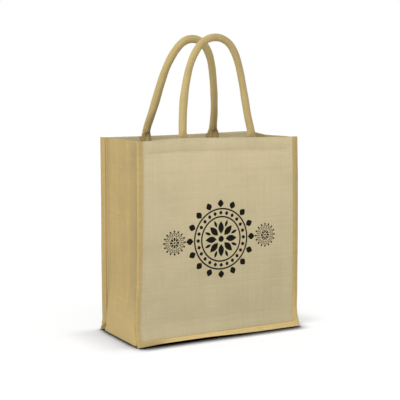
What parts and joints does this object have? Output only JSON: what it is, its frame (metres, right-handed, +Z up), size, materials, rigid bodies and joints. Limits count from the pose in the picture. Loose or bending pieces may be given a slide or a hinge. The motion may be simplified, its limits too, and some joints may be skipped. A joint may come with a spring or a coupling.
{
  "type": "jute tote bag",
  "caption": "Open-topped jute tote bag with pale front and back panels, a tan gusset, bound edges and two rope handles, standing on its base.",
  "frame": {"origin": "on the floor under the middle of the bag, at the bottom centre of its box", "axes": "+Z up, +X to the right along the front panel, -Y out of the front panel"},
  "size_m": [0.3595, 0.179, 0.5763],
  "materials": {
    "cream_cloth": "matte plain-weave blend of cotton and jute",
    "tan_jute": "matte natural jute in plain weave",
    "handle_cloth": "matte fine cloth drawn tight over a cord"
  },
  "bodies": {
    "root": {"front_panel": "cream_cloth", "back_panel": "cream_cloth", "gusset_strip": "tan_jute", "front_binding": "tan_jute", "back_binding": "tan_jute", "front_handle": "handle_cloth", "back_handle": "handle_cloth"}
  },
  "joints": []
}
